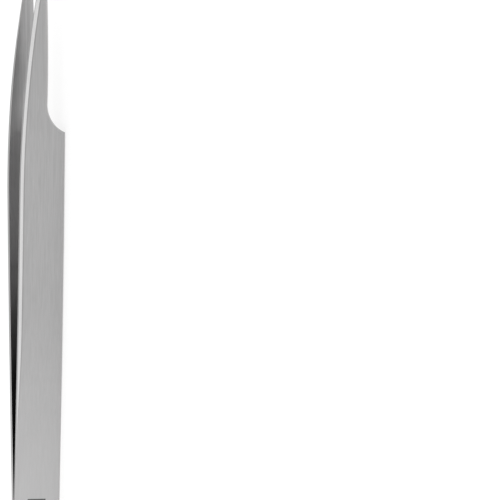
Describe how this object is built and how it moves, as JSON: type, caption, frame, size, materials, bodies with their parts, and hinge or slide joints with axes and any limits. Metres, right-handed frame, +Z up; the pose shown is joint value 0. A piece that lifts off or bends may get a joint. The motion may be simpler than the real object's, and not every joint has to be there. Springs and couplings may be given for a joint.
{
  "type": "slant tweezers",
  "caption": "Spring steel tweezers with flat grips, slender shanks and fine tips that lean over to one side.",
  "frame": {"origin": "on the surface that the tweezers lie on, below the middle of their bounding box", "axes": "+X along the tool from the tail end to the tips, +Z up from the straight grip edges that the tool lies on, which is also the way the tips lean, Y the way the arms spring apart"},
  "size_m": [0.135, 0.0084, 0.0111],
  "materials": {
    "brushed_arm": "satin, brushed lengthwise, with bright ground bevels",
    "weld_metal": "ground flush, slightly dull"
  },
  "bodies": {
    "tail": {"tail_weld": "weld_metal"},
    "front": {"front_arm": "brushed_arm"},
    "rear": {"rear_arm": "brushed_arm"}
  },
  "joints": [
    {"name": "front_arm_flex", "type": "hinge", "parent": "tail", "child": "front", "pos_m": [-0.0555, -0.0001, 0.005], "axis": [0, 0, 1], "range_deg": [0, 1.6], "stiffness_Nm_per_rad": 2},
    {"name": "rear_arm_flex", "type": "hinge", "parent": "tail", "child": "rear", "pos_m": [-0.0555, 0.0001, 0.005], "axis": [0, 0, -1], "range_deg": [0, 1.6], "stiffness_Nm_per_rad": 2}
  ],
  "couplings": [
    {"joint": "rear_arm_flex", "follows": "front_arm_flex", "ratio": 1}
  ]
}
